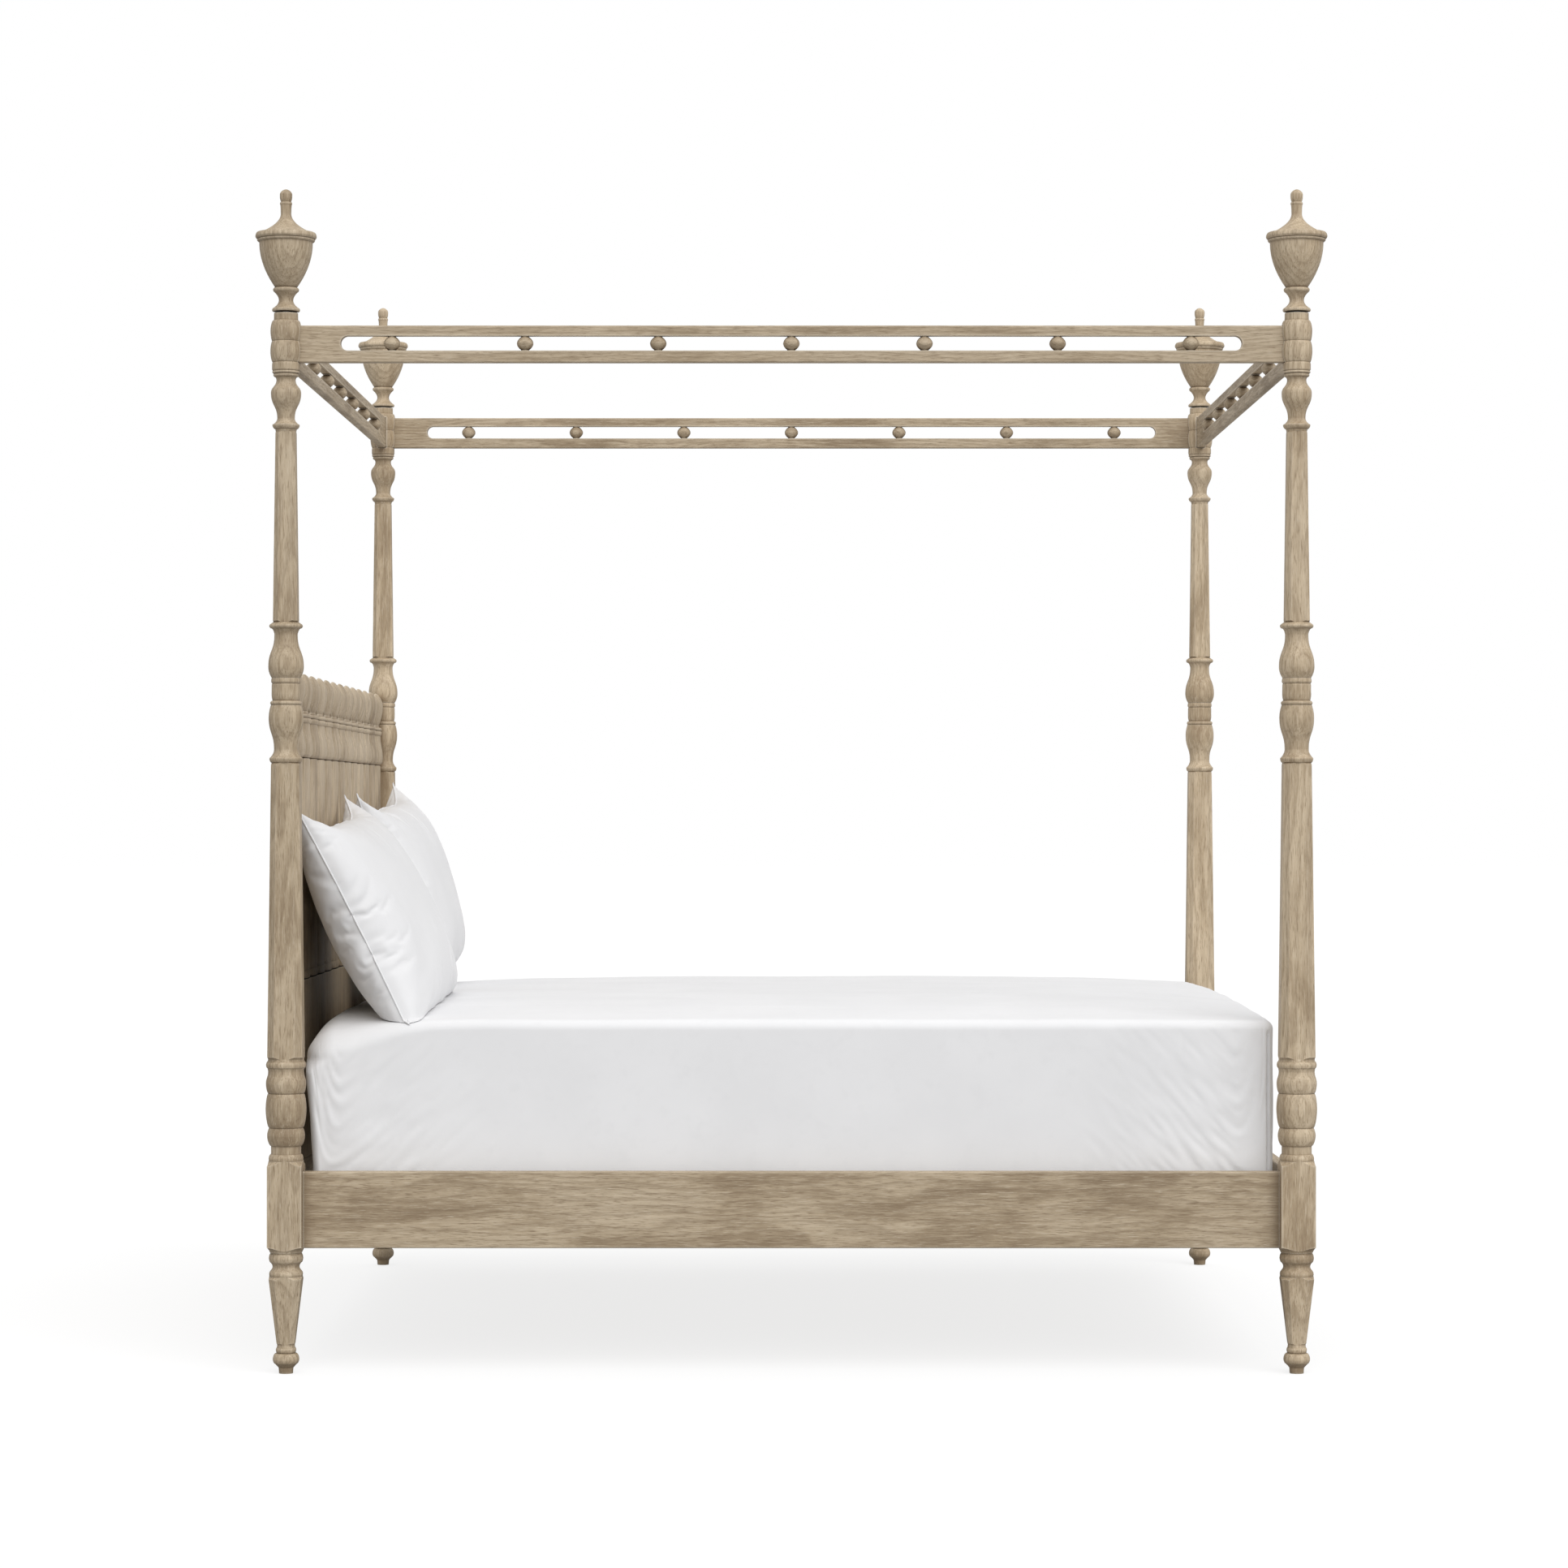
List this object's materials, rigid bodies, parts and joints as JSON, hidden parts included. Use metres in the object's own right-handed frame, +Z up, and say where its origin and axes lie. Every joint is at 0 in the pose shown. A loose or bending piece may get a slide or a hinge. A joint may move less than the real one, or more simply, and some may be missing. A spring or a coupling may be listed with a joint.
{
  "type": "miniature four poster bed",
  "caption": "Miniature canopy bed: turned tapering posts with urn finials, slotted canopy rails set with beads, a reeded headboard, a mattress and leaning pillows.",
  "frame": {"origin": "middle of the bed at floor level, under the centre of its outer box", "axes": "+X towards the foot of the bed, +Y towards the sleeper's left side, +Z up"},
  "size_m": [0.1876, 0.1802, 0.2072],
  "materials": {
    "post_wood": "limed oak, fine open grain, dull wax",
    "rail_wood": "limed oak, grain along the rail, dull wax",
    "headboard_wood": "limed oak, upright grain, dull wax",
    "slat_wood": "plain sawn softwood, unfinished",
    "pin_steel": "plain drawn steel",
    "mattress_cover": "smooth white woven cotton",
    "pillow_cover": "smooth white woven cotton"
  },
  "bodies": {
    "frame": {"canopy_beads_foot": "rail_wood", "canopy_beads_head": "rail_wood", "canopy_beads_left": "rail_wood", "canopy_beads_right": "rail_wood", "canopy_rail_foot": "rail_wood", "canopy_rail_head": "rail_wood", "canopy_rail_left": "rail_wood", "canopy_rail_right": "rail_wood", "foot_rail": "rail_wood", "head_rail": "rail_wood", "head_spindle_01": "headboard_wood", "head_spindle_02": "headboard_wood", "head_spindle_03": "headboard_wood", "head_spindle_04": "headboard_wood", "head_spindle_05": "headboard_wood", "head_spindle_06": "headboard_wood", "head_spindle_07": "headboard_wood", "head_spindle_08": "headboard_wood", "head_spindle_09": "headboard_wood", "head_spindle_10": "headboard_wood", "head_spindle_11": "headboard_wood", "head_spindle_12": "headboard_wood", "head_spindle_13": "headboard_wood", "head_spindle_14": "headboard_wood", "headboard_lower_panel": "headboard_wood", "headboard_upper_panel": "headboard_wood", "lower_post_foot_left": "post_wood", "lower_post_foot_right": "post_wood", "lower_post_head_left": "post_wood", "lower_post_head_right": "post_wood", "side_rail_left": "rail_wood", "side_rail_right": "rail_wood", "slat_01": "slat_wood", "slat_02": "slat_wood", "slat_03": "slat_wood", "slat_04": "slat_wood", "slat_05": "slat_wood", "slat_06": "slat_wood", "slat_07": "slat_wood", "slat_08": "slat_wood", "slat_09": "slat_wood", "slat_ledger_left": "slat_wood", "slat_ledger_right": "slat_wood", "upper_post_foot_left": "post_wood", "upper_post_foot_right": "post_wood", "upper_post_head_left": "post_wood", "upper_post_head_right": "post_wood"},
    "finial_head_right": {"finial_head_right": "post_wood", "finial_pin_head_right": "pin_steel"},
    "finial_head_left": {"finial_head_left": "post_wood", "finial_pin_head_left": "pin_steel"},
    "finial_foot_right": {"finial_foot_right": "post_wood", "finial_pin_foot_right": "pin_steel"},
    "finial_foot_left": {"finial_foot_left": "post_wood", "finial_pin_foot_left": "pin_steel"},
    "mattress": {"mattress": "mattress_cover"},
    "pillow_right": {"pillow_right": "pillow_cover"},
    "pillow_left": {"pillow_left": "pillow_cover"}
  },
  "joints": [
    {"name": "finial_head_right_lift", "type": "slide", "parent": "frame", "child": "finial_head_right", "axis": [0, 0, 1], "range_m": [0, 0.006]},
    {"name": "finial_head_left_lift", "type": "slide", "parent": "frame", "child": "finial_head_left", "axis": [0, 0, 1], "range_m": [0, 0.006]},
    {"name": "finial_foot_right_lift", "type": "slide", "parent": "frame", "child": "finial_foot_right", "axis": [0, 0, 1], "range_m": [0, 0.006]},
    {"name": "finial_foot_left_lift", "type": "slide", "parent": "frame", "child": "finial_foot_left", "axis": [0, 0, 1], "range_m": [0, 0.006]},
    {"name": "mattress_lift", "type": "slide", "parent": "frame", "child": "mattress", "axis": [0, 0, 1], "range_m": [0, 0.03]},
    {"name": "pillow_right_lift", "type": "slide", "parent": "mattress", "child": "pillow_right", "axis": [0, 0, 1], "range_m": [0, 0.03]},
    {"name": "pillow_left_lift", "type": "slide", "parent": "mattress", "child": "pillow_left", "axis": [0, 0, 1], "range_m": [0, 0.03]}
  ]
}
